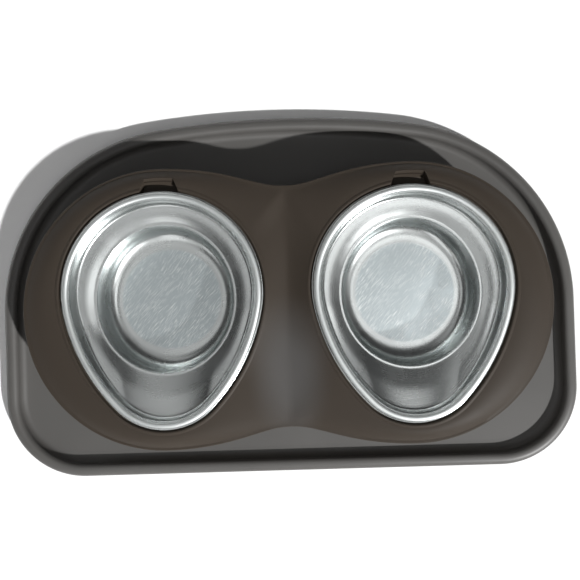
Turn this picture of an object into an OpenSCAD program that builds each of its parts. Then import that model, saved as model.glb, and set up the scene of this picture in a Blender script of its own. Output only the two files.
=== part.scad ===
// Double pet bowl: two egg-shaped steel bowls in a raised stand, which stands in a spill tray.
// Origin at the middle of the tray on the ground, +X to the right, +Y to the arched back, +Z up. Millimetres.

/* [Tray] */
// Width of the tray, side to side
tray_w = 400; // [380:1:460]
// Depth of the tray, from its flat front to the top of its arched back
tray_d = 247.6; // [240:0.1:300]
// Radius of the two front corners, seen from above
tray_corner_r = 55; // [30:1:70]
// Radius of the two back shoulders
tray_shoulder_r = 127.3; // [110:0.1:135]
// Radius of the arched back edge
tray_back_r = 660; // [500:1:900]
// Height of the lip's crown above the ground
tray_h = 12.5; // [12:0.5:16]
// Height of the tray's floor above the ground
floor_z = 4.5; // [4:0.1:4.5]
// Wall thickness of the tray
tray_t = 2.5; // [2:0.1:3]

/* [Stand] */
// Distance of each lobe's centre from the middle
lobe_x = 81.6; // [80:0.1:84]
// Radius of a lobe
lobe_r = 92.6; // [91:0.1:95]
// Half the stand's depth at its waist
neck_y = 79.2; // [77:0.1:81]
// Radius of the hollow curve at the waist
neck_r = 60; // [40:1:80]
// Slope of the waist's straight flanks, in degrees
flank_a = 15.5; // [15:0.1:17]
// Place of the stand's centre line, front to back
stand_y = -8; // [-10:0.1:-5]
// Height of the stand's outer top edge above the ground
stand_edge_z = 42; // [36:0.5:44]
// Wall thickness of the stand
stand_t = 2.5; // [2:0.1:3]

/* [Bowls] */
// Width of a bowl over its rolled rim
bowl_w = 132; // [128:1:136]
// Length of a bowl over its rolled rim, back to tip
bowl_l = 155.2; // [152:0.1:158]
// Radius of the bowl's narrow front tip
bowl_tip_r = 44; // [38:1:50]
// Radius of the bowl's long side curves
bowl_side_r = 125; // [115:1:140]
// Middle of the bowl's round back end, behind the lobe's centre
bowl_back_y = 11; // [9:0.1:12]
// Height of the rims above the ground
rim_z = 50; // [46:0.5:54]
// Width of the rolled rim
rim_w = 5.5; // [4:0.1:6]
// Thickness of the steel sheet
sheet_t = 0.8; // [0.6:0.1:1]
// Half width of the ridge where the ramp meets the round well
ridge_rx = 45.4; // [44:0.1:47]
// Half length of that ridge
ridge_ry = 49; // [47:0.1:50]
// Depth of the ridge below the rim
ridge_depth = 16; // [13:0.5:18]
// Slope of the ramp that rises from the ridge to the steep wall
ramp_a = 12.5; // [8:0.5:13.5]
// Radius of the well's flat bottom
flat_r = 36.4; // [34:0.1:38]
// Depth of the flat bottom below the rim
bowl_depth = 40; // [34:0.5:40]
// Middle of the well, behind the lobe's centre
well_y = 6.8; // [5:0.1:8]

/* [Feet] */
// Radius of a rubber foot
foot_r = 9.7; // [8:0.1:12]
// Depth of the foot's recess in the underside of the tray
foot_recess = 0.6; // [0.4:0.1:0.8]

/* [Hidden] */
$fn = 96;

TRAY_COLOUR = [0.33, 0.32, 0.31];
STAND_COLOUR = [0.27, 0.24, 0.21];
STEEL_COLOUR = [0.78, 0.80, 0.81];
RUBBER_COLOUR = [0.12, 0.12, 0.12];

// Points of an arc about c, from angle a0 to a1 in n steps.
function arc(c, r, a0, a1, n) =
    [for (i = [0:n]) c + r * [cos(a0 + (a1 - a0) * i / n), sin(a0 + (a1 - a0) * i / n)]];

// A bowl and the tray are each one closed shell, made of rings of n points that run anticlockwise. The rings
// go inwards over the top to ring last_in, then outwards again underneath. A point in the middle closes the
// top, and another the underside.
function ring_faces(r, n, next) = [for (i = [0:n - 1]) let (j = (i + 1) % n)
    each [[r * n + i, next * n + j, r * n + j], [r * n + i, next * n + i, next * n + j]]];
function shell_faces(n_rings, n, last_in) = let (top = n_rings * n, bottom = top + 1) concat(
    [for (r = [0:n_rings - 1]) if (r != last_in) each ring_faces(r, n, (r + 1) % n_rings)],
    [for (i = [0:n - 1]) [last_in * n + i, top, last_in * n + (i + 1) % n]],
    [for (i = [0:n - 1]) [(last_in + 1) * n + (i + 1) % n, bottom, (last_in + 1) * n + i]]
);

// TRAY. Its outline is a straight front, two corner arcs, straight sides, two shoulder arcs and one long
// back arc, each tangent to the next.
corner_c = [tray_w / 2 - tray_corner_r, tray_corner_r - tray_d / 2];
back_cy = tray_d / 2 - tray_back_r;
shoulder_cx = tray_w / 2 - tray_shoulder_r;
shoulder_cy = back_cy + sqrt(pow(tray_back_r - tray_shoulder_r, 2) - shoulder_cx * shoulder_cx);
shoulder_c = [shoulder_cx, shoulder_cy];
// Half the angle that the back arc spans
back_a = asin(shoulder_cx / (tray_back_r - tray_shoulder_r));

lip_out_r = 4.5;      // outer round of the lip
lip_in_r = 3.5;       // inner round of the lip
lip_flat = 1;         // flat on the crown between them
cove_r = 4.5;         // hollow curve where the inner wall meets the floor
skirt_z = 1.2;        // lower edge of the lip's outer wall
lip_steps = 6;        // steps of each round in the lip's section
turn_steps = 12;      // steps of each corner, shoulder and half of the back arc, seen from above

// The lip's section: x is the distance in from the outer edge, y the height.
lip_crown_x = lip_out_r + lip_flat;
wall_x = lip_crown_x + lip_in_r;
cove_c = [wall_x + cove_r, floor_z + cove_r];
section_top = concat(
    [[0, skirt_z]],
    arc([lip_out_r, tray_h - lip_out_r], lip_out_r, 180, 90, lip_steps),
    arc([lip_crown_x, tray_h - lip_in_r], lip_in_r, 90, 0, lip_steps),
    arc(cove_c, cove_r, 180, 270, lip_steps)
);
section_under = concat(
    arc(cove_c, cove_r + tray_t, 270, 180, lip_steps),
    arc([lip_crown_x, tray_h - lip_in_r], lip_in_r - tray_t, 0, 90, lip_steps / 2),
    arc([lip_out_r, tray_h - lip_out_r], lip_out_r - tray_t, 90, 180, lip_steps / 2),
    [[tray_t, skirt_z]]
);

// Places round the outline, each a point and the outward normal there
function place(c, r, a) = [c + r * [cos(a), sin(a)], [cos(a), sin(a)]];
function places(c, r, a0, a1, first) =
    [for (i = [first:turn_steps]) place(c, r, a0 + (a1 - a0) * i / turn_steps)];
right_places = concat(
    places(corner_c, tray_corner_r, -90, 0, 0),
    places(shoulder_c, tray_shoulder_r, 0, 90 - back_a, 0),
    places([0, back_cy], tray_back_r, 90 - back_a, 90, 1)
);
function mirrored(v) = [-v[0], v[1]];
outline = concat(right_places,
    [for (i = [len(right_places) - 2:-1:0]) [mirrored(right_places[i][0]), mirrored(right_places[i][1])]]);

module tray_shell() {
    section = concat(section_top, section_under);
    points = [for (q = section, p = outline) [p[0][0] - q[0] * p[1][0], p[0][1] - q[0] * p[1][1], q[1]]];
    polyhedron(concat(points, [[0, 0, floor_z], [0, 0, floor_z - tray_t]]),
               shell_faces(len(section), len(outline), len(section_top) - 1));
}

// Pegs on the floor inside the stand's wall keep the stand in its place.
peg_r = 3.5;
peg_h = 6;
peg_gap = 0.8;
peg_round = 1;
module locating_peg() {
    rotate_extrude()
    polygon(concat([[0, -1], [peg_r, -1]], arc([peg_r - peg_round, peg_h - peg_round], peg_round, 0, 90, 4),
                   [[0, peg_h]]));
}

foot_places = [[-148, -76], [148, -76], [-108, 74], [108, 74]];

module tray() {
    color(TRAY_COLOUR)
    difference() {
        union() {
            tray_shell();
            for (side = [-1, 1], a = [-60, 0, 60])
                translate([side * lobe_x, stand_y, floor_z]
                          + (lobe_r - stand_t - peg_gap - peg_r) * [side * cos(a), sin(a), 0])
                locating_peg();
        }
        for (p = foot_places)
            translate([p[0], p[1], floor_z - tray_t - 1])
                cylinder(r = foot_r + foot_gap, h = 1 + foot_recess);
    }
}

// FEET. A rubber pad with a rounded lower edge and a shallow ring groove in its sole.
foot_h = floor_z - tray_t + foot_recess;
foot_round = 0.8;
foot_gap = 0.3;
groove_r = 6;
groove_half = 0.8;
module foot(p) {
    color(RUBBER_COLOUR)
    translate([p[0], p[1], 0])
    rotate_extrude()
    polygon(concat(
        [[0, foot_h], [0, 0]],
        [[groove_r - groove_half, 0], [groove_r, groove_half], [groove_r + groove_half, 0]],
        arc([foot_r - foot_round, foot_round], foot_round, 270, 360, 4),
        [[foot_r, foot_h]]
    ));
}

// EGG OUTLINE of a bowl, about its lobe's centre: a round back, two long side curves and a tip, each tangent
// to the next. b is the angle of the outward normal, 0 at the back and 90 on the right.
egg_back_r = bowl_w / 2;
egg_tip_y = bowl_back_y + egg_back_r + bowl_tip_r - bowl_l;
side_to_back = bowl_side_r - egg_back_r;
side_to_tip = bowl_side_r - bowl_tip_r;
egg_span = bowl_back_y - egg_tip_y;
side_dy = (side_to_tip * side_to_tip - side_to_back * side_to_back - egg_span * egg_span) / (2 * egg_span);
side_cx = sqrt(side_to_back * side_to_back - side_dy * side_dy);
back_end_b = 90 + atan2(side_dy, side_cx);
tip_start_b = 90 + atan2(side_dy + egg_span, side_cx);

// An angle brought to -180 to 180
function turn(b) = b > 180 ? b - 360 : (b < -180 ? b + 360 : b);
function dir(b) = [sin(b), cos(b)];
function egg(b, d) = let (w = turn(b), s = sign(w))
    abs(w) <= back_end_b ? [0, bowl_back_y] + (egg_back_r + d) * dir(w)
    : abs(w) < tip_start_b ? [-s * side_cx, bowl_back_y + side_dy] + (bowl_side_r + d) * dir(w)
    : [0, egg_tip_y] + (bowl_tip_r + d) * dir(w);

// An oval about the well's middle, at the point whose outward normal is b.
function oval(b, rx, ry) = let (s = sin(b), c = cos(b))
    [0, well_y] + [rx * rx * s, ry * ry * c] / sqrt(rx * rx * s * s + ry * ry * c * c);

// BOWLS. A section is a list of rings from the rim inwards and down, then back up outside. Each ring is
// [inset from the egg outline, share of the well's oval, its half width, its half length, height, share of the
// ramp's rise that is added to the height].
bowl_n = 72;
bead_r = rim_w / 2;
bead_steps = 8;
bead_foot_z = rim_z - 3.7;          // underside of the rolled rim, which rests on the stand's seat
wall_in = rim_w + 1.3;              // inset of the steep wall's foot
ramp_in = wall_in + 2.2;            // inset of the ramp's top, past a small hollow curve
ridge_z = rim_z - ridge_depth;
ridge_round = 0.9;
ramp_z = ridge_z + ridge_round;     // height of the ramp's foot
wall_z = ramp_z + 1.3;              // height of the wall's foot above the ramp's rise
flat_z = rim_z - bowl_depth;
cove_up = 9.6;                      // height of the hollow curve round the flat bottom
cove_draft = 0.6;                   // how much its top is narrower than the ridge, on each side
cove_steps = 5;

function ramp_rise(b) = norm(egg(b, -ramp_in) - oval(b, ridge_rx, ridge_ry)) * tan(ramp_a);
function ring_at(b, s) = let (p = egg(b, -s[0]) * (1 - s[1]) + oval(b, s[2], s[3]) * s[1])
    [p[0], p[1], s[4] + ramp_rise(b) * s[5]];

// A ring along the egg outline, and one on the way from the ramp's top to the well's oval, sunk under the ramp
function egg_ring(inset, z, rise = 0) = [inset, 0, 1, 1, z, rise];
function ramp_ring(share, sunk = 0) = [ramp_in, share, ridge_rx, ridge_ry, ramp_z - sunk, 1 - share];

// A ring of the hollow curve round the flat bottom, moved g to its outer side. Share t runs from the flat
// bottom to the curve's top, where the steep wall starts.
function cove_size(r, t) = r - cove_draft + (flat_r - r + cove_draft) * (1 - t) * (1 - t);
function cove_ring(t, g) = let (out = g * sin(90 * t), down = g * cos(90 * t))
    [0, 1, cove_size(ridge_rx, t) + out, cove_size(ridge_ry, t) + out, flat_z + cove_up * t * t - down, 0];

bowl_inside = concat(
    [for (i = [0:bead_steps]) let (a = 180 * i / bead_steps)
        egg_ring(bead_r - bead_r * cos(a), rim_z - bead_r + bead_r * sin(a))],
    [
        egg_ring((rim_w + wall_in) / 2 - 0.2, (bead_foot_z + wall_z) / 2 + 0.4, 0.5),
        egg_ring(wall_in - 0.5, wall_z + 0.9, 1),
        egg_ring(wall_in + 0.6, wall_z - 0.5, 1),
    ],
    [for (share = [0, 0.33, 0.66, 0.94]) ramp_ring(share)],
    [ramp_ring(1, ridge_round)],
    [for (k = [cove_steps:-1:0]) cove_ring(k / cove_steps, 0)]
);
bowl_outside = concat(
    [for (k = [0:cove_steps]) cove_ring(k / cove_steps, sheet_t)],
    [
        [0, 1, ridge_rx + sheet_t, ridge_ry + sheet_t, ridge_z - sheet_t / 2, 0],
        ramp_ring(0.5, sheet_t),
        ramp_ring(0, sheet_t),
        egg_ring(wall_in + 0.6, wall_z - 0.4 - sheet_t, 1),
        egg_ring(wall_in - 0.5 - sheet_t, wall_z + 0.5, 1),
        egg_ring(rim_w - sheet_t, bead_foot_z),
        egg_ring(0.6, bead_foot_z),
        egg_ring(0, bead_foot_z + 0.6),
    ]
);

module bowl(side) {
    rings = concat(bowl_inside, bowl_outside);
    points = [for (s = rings, i = [0:bowl_n - 1]) ring_at(-i * 360 / bowl_n, s)];
    color(STEEL_COLOUR)
    translate([side * lobe_x, stand_y, 0])
    polyhedron(concat(points, [[0, well_y, flat_z], [0, well_y, flat_z - sheet_t]]),
               shell_faces(len(rings), bowl_n, len(bowl_inside) - 1));
}

// STAND. One half is built round its lobe and the other is its mirror image. A station is a line from the
// bowl's hole to the outer edge, named by the egg's normal angle b there: -neck_b to 0 ends on the waist
// behind, 0 to 180 on the lobe, 180 to 180 + neck_b on the waist in front, and the rest on the middle line.
neck_b = 55;
flank_r = cos(flank_a) / (1 - cos(flank_a))
    * ((lobe_x - neck_r * sin(flank_a)) * tan(flank_a) - lobe_r + neck_y + neck_r * (1 - cos(flank_a)));
flank_x = flank_r * sin(flank_a);
neck_x = lobe_x - neck_r * sin(flank_a);

// A point of the waist's back edge at x to the left of the lobe's centre, moved out by d.
function flank_y(x) = lobe_r - flank_r * (1 - cos(flank_a)) - (x - flank_x) * tan(flank_a);
function waist(x, d) =
    x <= flank_x ? let (a = asin(x / flank_r)) [0, lobe_r - flank_r] + (flank_r + d) * dir(-a)
    : x <= neck_x ? [-x, flank_y(x)] + d * dir(-flank_a)
    : let (a = asin((lobe_x - x) / neck_r)) [-lobe_x, neck_y + neck_r] - (neck_r - d) * dir(-a);

// Where the station meets the middle line
hole_back_y = egg(-neck_b, 0)[1];
hole_front_y = egg(180 + neck_b, 0)[1];
function middle_y(b, y) = -y + 2 * y * (egg(b, 0)[1] - hole_front_y) / (hole_back_y - hole_front_y);

function outer(b, d) =
    b < 0 ? waist(-b / neck_b * lobe_x, d)
    : b <= 180 ? (lobe_r + d) * dir(b)
    : b <= 180 + neck_b ? let (p = waist((b - 180) / neck_b * lobe_x, d)) [p[0], -p[1]]
    : [-lobe_x, middle_y(b, neck_y + d)];

edge_r = 1.8;                       // round of the stand's outer top edge
edge_mid = edge_r * 0.3;            // inset and drop of the round's middle
flare = 1;                          // how far the outer wall spreads at its foot
seat_z = bead_foot_z;               // sunk seat that the bowl's rim rests on
seat_in = 2.6;
seat_out = 0.7;
crest_d = 1.9;                      // thin raised collar round the seat, its crest and its outer foot
crest_z = rim_z - 1.5;
collar_d = 3.3;
collar_z = crest_z - 0.6;
valley_drop = 3;                    // fall of the top from the collars to the middle line

// Finger notch behind the bowl: a flat floor, a sloping back and steep sides that draw in towards the back
notch_w = 26;
notch_z = rim_z - 9;
notch_floor_d = 5;                  // how far its floor reaches behind the egg outline
notch_back_d = 8.5;                 // where its sloping back meets the top
notch_side = 0.9;                   // width of its steep sides, seen from above
notch_b = asin(notch_w / 2 / egg_back_r);
notch_floor_b = asin((notch_w / 2 - notch_side) / egg_back_r);
notch_step = 3.6;
notch_narrow = [0.75, 0.62];        // its width at the floor's back edge and at the top, as a share
notch_t = (notch_back_d - collar_d) / (lobe_r - edge_r - bowl_back_y - egg_back_r - collar_d);

// Normal angles of the stations, going round from the middle line behind
waist_b = [16.5, 22, 28, 33.5, 39, 44.3, 48, 51.5];
middle_n = 13;
stations = concat(
    [-neck_b],
    [for (i = [len(waist_b) - 1:-1:0]) -waist_b[i]],
    [-notch_b, -notch_floor_b, -notch_step, notch_step, notch_floor_b, notch_b],
    [for (b = [18:6:180]) b],
    [for (b = concat([6, 11], waist_b)) 180 + b],
    [180 + neck_b],
    [for (i = [1:middle_n]) 180 + neck_b + i * (180 - 2 * neck_b) / (middle_n + 1)]
);

// How far the stand's top has fallen at share t of the way out
function lobe_fall(t) = pow(t, 1.6);
function valley_fall(t) = (1 - cos(180 * t)) / 2;
function valley_share(b) =
    b < 0 ? pow(-b / neck_b, 2) * 0.5
    : b <= 180 ? 0
    : b <= 180 + neck_b ? pow((b - 180) / neck_b, 2) * 0.5
    : 0.5 + 0.5 * sin(180 * (b - 180 - neck_b) / (180 - 2 * neck_b));
edge_drop = collar_z - stand_edge_z;
function top_drop(b) = b <= 180 + neck_b ? edge_drop
    : valley_drop + (edge_drop - valley_drop) * pow(abs(middle_y(b, 1)), 3);
function top_z(b, t) =
    collar_z - top_drop(b) * ((1 - valley_share(b)) * lobe_fall(t) + valley_share(b) * valley_fall(t));

// A point at share t from the collar to the outer edge, with height z less drop.
function dome(b, t, drop) = let (e = egg(b, collar_d), o = outer(b, -edge_r), p = e + (o - e) * t)
    [p[0], p[1], top_z(b, t) - drop];
function hole(b, d, z) = let (p = egg(b, d)) [p[0], p[1], z];
function rim(b, d, z) = let (p = outer(b, d)) [p[0], p[1], z];

// The rows of one station, from the hole's lower edge over the top and down the outer wall, then back
// under the top. In the notch the first rows lie on its floor.
function in_notch(b) = abs(b) < (notch_b + notch_floor_b) / 2;
function at_notch(b) = abs(b) < notch_b + 0.01;
function narrowed(b, share) = at_notch(b) ? b * share : b;
function top_rows(b) = let (low = in_notch(b), edge = at_notch(b), sunk = low ? notch_z : seat_z) [
    hole(b, -seat_in, sunk - stand_t),
    hole(b, -seat_in, sunk),
    hole(b, seat_out, sunk),
    hole(narrowed(b, 0.97), seat_out + 0.2, low ? notch_z : crest_z - 0.4),
    hole(narrowed(b, 0.9), low ? (seat_out + notch_floor_d) / 2 : crest_d, low ? notch_z + 0.1 : crest_z),
    hole(narrowed(b, notch_narrow[0]), low ? notch_floor_d : collar_d, low ? notch_z + 0.3 : collar_z),
    dome(narrowed(b, notch_narrow[1]), edge ? notch_t : 0.2, 0),
    dome(narrowed(b, 0.68), edge ? notch_t + 0.1 : 0.4, 0),
    dome(narrowed(b, 0.76), edge ? notch_t + 0.2 : 0.6, 0),
    dome(narrowed(b, 0.88), 0.8, 0),
    dome(b, 1, 0),
];
function wall_rows(b) = [
    rim(b, -edge_mid, stand_edge_z - edge_mid),
    rim(b, 0, stand_edge_z - edge_r),
    rim(b, flare, floor_z),
    rim(b, flare - stand_t, floor_z),
];
function under_rows(b) = [
    b > 180 + neck_b ? dome(b, 1, stand_t) : rim(b, -stand_t, stand_edge_z - stand_t - 0.8),
    dome(b, 0.6, stand_t),
    in_notch(b) ? hole(narrowed(b, notch_narrow[0]), notch_floor_d + 1, notch_z + 0.3 - stand_t)
        : hole(b, collar_d, collar_z - stand_t),
];
function station_rows(b) = concat(top_rows(b), wall_rows(b), under_rows(b));

n_stations = len(stations);
n_rows = len(station_rows(0));
n_half = n_stations * n_rows;
// The last station in front of those on the middle line, and the rows between which these have no faces
waist_end = n_stations - middle_n - 1;
first_outer_row = len(top_rows(0)) - 1;
last_outer_row = len(top_rows(0)) + len(wall_rows(0));

// Is this row of this station on the middle line, so that both halves share its point?
function on_middle(s, r) =
    (s >= waist_end || s == 0) && (r == first_outer_row || r == last_outer_row
        || ((s == 0 || s == waist_end) && r > first_outer_row && r < last_outer_row));
function right_id(s, r) = s * n_rows + r;
function left_id(s, r) = on_middle(s, r) ? right_id(s, r) : n_half + right_id(s, r);
function has_quad(s, r) = !(s >= waist_end && r >= first_outer_row && r < last_outer_row);

module stand() {
    half = [for (b = stations, p = station_rows(b)) p + [lobe_x, 0, 0]];
    points = concat(half, [for (p = half) [-p[0], p[1], p[2]]]);
    quads = [for (s = [0:n_stations - 1], r = [0:n_rows - 1]) if (has_quad(s, r))
        [s, (s + 1) % n_stations, r, (r + 1) % n_rows]];
    faces = concat(
        [for (q = quads) each [
            [right_id(q[0], q[2]), right_id(q[1], q[3]), right_id(q[0], q[3])],
            [right_id(q[0], q[2]), right_id(q[1], q[2]), right_id(q[1], q[3])]]],
        [for (q = quads) each [
            [left_id(q[0], q[2]), left_id(q[0], q[3]), left_id(q[1], q[3])],
            [left_id(q[0], q[2]), left_id(q[1], q[3]), left_id(q[1], q[2])]]]
    );
    color(STAND_COLOUR)
    translate([0, stand_y, 0])
    polyhedron(points, faces);
}

tray();
stand();
bowl(-1);  // bowl_left
bowl(1);  // bowl_right
foot(foot_places[0]);  // foot_front_left
foot(foot_places[1]);  // foot_front_right
foot(foot_places[2]);  // foot_back_left
foot(foot_places[3]);  // foot_back_right
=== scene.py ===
"""Looks of a double pet bowl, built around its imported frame.

Every length is in metres, in the part's own frame: +X to the right along the two bowls, +Y from the tray's
flat front to its arched back, +Z up from the ground. An angle whose name ends in _deg is in degrees. A point
of an outline is named by b_deg, the angle of its outward normal: 0 at the back and 90 on the right.
"""

import logging
import math
from contextlib import contextmanager
from dataclasses import dataclass, field
from enum import Enum
from typing import Callable, Iterator, Sequence

import bmesh
import bpy
from mathutils import Euler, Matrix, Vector
from mathutils.kdtree import KDTree


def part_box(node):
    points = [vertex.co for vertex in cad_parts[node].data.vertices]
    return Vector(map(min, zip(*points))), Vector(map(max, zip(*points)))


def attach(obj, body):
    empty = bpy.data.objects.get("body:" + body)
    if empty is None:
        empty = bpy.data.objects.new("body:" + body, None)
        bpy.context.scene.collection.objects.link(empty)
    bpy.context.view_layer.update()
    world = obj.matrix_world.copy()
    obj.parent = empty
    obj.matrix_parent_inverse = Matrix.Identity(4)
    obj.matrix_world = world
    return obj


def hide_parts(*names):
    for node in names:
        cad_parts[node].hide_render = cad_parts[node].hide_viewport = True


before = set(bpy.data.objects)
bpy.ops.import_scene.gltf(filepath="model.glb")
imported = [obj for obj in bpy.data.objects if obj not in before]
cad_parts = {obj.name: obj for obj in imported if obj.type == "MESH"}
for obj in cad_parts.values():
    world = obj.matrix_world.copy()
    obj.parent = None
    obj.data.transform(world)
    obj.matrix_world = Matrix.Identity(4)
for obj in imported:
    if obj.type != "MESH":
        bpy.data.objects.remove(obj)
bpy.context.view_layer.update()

MM = 0.001
WELD = 0.01 * MM  # points closer than this are one point
MIRROR_WELD = 0.05 * MM  # the same for the seam of a mirrored half
ROUND_LIMIT = 0.48  # the largest share of a section's straight that one corner's round takes
ACROSS = "across"  # a sheet's mean distance along its section, kept at each of its points
log = logging.getLogger("double_pet_bowl")

Piece = bpy.types.Object
Socket = bpy.types.NodeSocket
Ring = list[Vector]
Colour = tuple[float, float, float]


def toward(b_deg: float) -> Vector:
    """Return the unit vector in plan at b_deg clockwise from +Y."""
    b = math.radians(b_deg)
    return Vector((math.sin(b), math.cos(b), 0.0))


def smooth_step(x: float) -> float:
    """Return 0 below 0, 1 above 1, and a smooth rise between."""
    x = min(max(x, 0.0), 1.0)
    return x * x * (3 - 2 * x)


def at_height(point: Vector, z: float) -> Vector:
    """Return a point of a plan raised to height z."""
    return Vector((point.x, point.y, z))


class Side(Enum):
    """The two lobes of the stand, by the sign of their x."""

    LEFT = -1
    RIGHT = 1


# Editing, as by hand

def deselect_all() -> None:
    """Leave nothing selected, the CAD nodes included."""
    bpy.ops.object.select_all(action="DESELECT")


def take(obj: Piece) -> None:
    """Make one object the only selected and the active one."""
    deselect_all()
    obj.select_set(True)
    bpy.context.view_layer.objects.active = obj


def named_primitive(name: str) -> Piece:
    """Name the primitive that was just added.

    Args:
        name: The piece's name, also given to its mesh.

    Returns:
        The primitive's object.
    """
    obj = bpy.context.object
    obj.name = name
    obj.data.name = name
    return obj


@contextmanager
def editing(obj: Piece) -> Iterator[Piece]:
    """Hold one object in edit mode, with nothing selected at first."""
    take(obj)
    bpy.ops.object.mode_set(mode="EDIT")
    bpy.ops.mesh.select_all(action="DESELECT")
    try:
        yield obj
    finally:
        bpy.ops.object.mode_set(mode="OBJECT")


def pick(obj: Piece, kind: str, test: Callable[[object], bool]) -> None:
    """Select the vertices, edges or faces that pass a test, and nothing else.

    Args:
        obj: The piece, in edit mode.
        kind: VERT, EDGE or FACE.
        test: Whether one of them is selected.
    """
    bpy.ops.mesh.select_mode(type=kind)
    bpy.ops.mesh.select_all(action="DESELECT")
    shape = bmesh.from_edit_mesh(obj.data)
    for element in {"VERT": shape.verts, "EDGE": shape.edges, "FACE": shape.faces}[kind]:
        if test(element):
            element.select_set(True)
    bmesh.update_edit_mesh(obj.data)


def apply_modifier(obj: Piece, kind: str, **settings: object) -> None:
    """Add one modifier and apply it.

    Args:
        obj: The piece.
        kind: The modifier's type, such as SOLIDIFY.
        **settings: Its settings, by name.
    """
    take(obj)
    modifier = obj.modifiers.new(kind.lower(), kind)
    for name, value in settings.items():
        setattr(modifier, name, value)
    bpy.ops.object.modifier_apply(modifier=modifier.name)


def join_sheets(obj: Piece, other: Piece) -> None:
    """Join another sheet to a piece, weld the points that they share and turn all faces outward.

    Args:
        obj: The piece, which keeps its name.
        other: The other sheet, which becomes part of it.
    """
    deselect_all()
    other.select_set(True)
    obj.select_set(True)
    bpy.context.view_layer.objects.active = obj
    bpy.ops.object.join()
    weld(obj)


def weld(obj: Piece, upward: bool = False) -> None:
    """Merge a piece's doubles and turn its faces outward, or an open sheet's so that most look up.

    Args:
        obj: The piece or sheet.
        upward: Whether it is an open sheet.
    """
    with editing(obj):
        bpy.ops.mesh.select_all(action="SELECT")
        bpy.ops.mesh.remove_doubles(threshold=WELD)
        bpy.ops.mesh.normals_make_consistent(inside=False)
        faces = bmesh.from_edit_mesh(obj.data).faces
        if upward and sum(face.normal.z * face.calc_area() for face in faces) < 0:
            bpy.ops.mesh.flip_normals()


def smooth(obj: Piece, angle_deg: float = 32.0) -> None:
    """Shade a piece smooth, with edges sharper than the angle kept."""
    take(obj)
    bpy.ops.object.shade_smooth_by_angle(angle=math.radians(angle_deg))


def settle(obj: Piece) -> None:
    """Put a piece's place into its mesh, so that its object sits at the origin."""
    take(obj)
    bpy.ops.object.transform_apply(location=True, rotation=True, scale=True)


def cylinder(name: str, sides: int, radius: float, place: Vector, low: float, high: float) -> Piece:
    """Add an upright cylinder.

    Args:
        name: Its name.
        sides: Its number of sides.
        radius: Its radius.
        place: Its axis in plan.
        low: Height of its lower end.
        high: Height of its upper end.

    Returns:
        The cylinder, its object at the origin.
    """
    deselect_all()
    bpy.ops.mesh.primitive_cylinder_add(vertices=sides, radius=radius, depth=high - low,
                                        location=at_height(place, (low + high) / 2))
    obj = named_primitive(name)
    settle(obj)
    return obj


def copied(obj: Piece, name: str, move: Vector) -> Piece:
    """Copy a piece with a mesh of its own, and move that mesh.

    Args:
        obj: The piece, modelled once.
        name: The copy's name.
        move: How far the copy lies from the piece.

    Returns:
        The copy, its object at the origin.
    """
    take(obj)
    bpy.ops.object.duplicate(linked=False)
    copy = named_primitive(name)
    bpy.ops.transform.translate(value=move)
    settle(copy)
    return copy


@dataclass(frozen=True)
class Corner:
    """One corner of a section, at every station round a piece.

    Attributes:
        ring: The corner's point at each station.
        reach: How far its round reaches along the section to each side, 0 for a plain row.
        steps: Steps of the round.
        rows_after: Plain rows between this corner and the next.
    """

    ring: Ring
    reach: float = 0.0
    steps: int = 4
    rows_after: int = 0


def rounded_rows(corners: Sequence[Corner]) -> list[Ring]:
    """Return the rows of a sheet whose section has these corners, each drawn as a smooth round.

    Args:
        corners: The section's corners in order.

    Returns:
        One ring of points for each row.
    """
    rows: list[Ring] = []
    rounds: list[list[Ring]] = []
    for k, corner in enumerate(corners):
        if corner.reach == 0 or k in (0, len(corners) - 1):
            rounds.append([corner.ring])
            continue
        turned: list[Ring] = [[] for _ in range(corner.steps + 1)]
        for before, here, after in zip(corners[k - 1].ring, corner.ring, corners[k + 1].ring):
            back, on = before - here, after - here
            start = here + back.normalized() * min(corner.reach, ROUND_LIMIT * back.length)
            end = here + on.normalized() * min(corner.reach, ROUND_LIMIT * on.length)
            for i, row in enumerate(turned):
                t = i / corner.steps
                row.append(start * (1 - t) ** 2 + here * 2 * t * (1 - t) + end * t * t)
        rounds.append(turned)
    for k, corner in enumerate(corners):
        rows.extend(rounds[k])
        if k + 1 < len(corners):
            first, last = rounds[k][-1], rounds[k + 1][0]
            for i in range(1, corner.rows_after + 1):
                t = i / (corner.rows_after + 1)
                rows.append([a.lerp(b, t) for a, b in zip(first, last)])
    return rows


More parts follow.
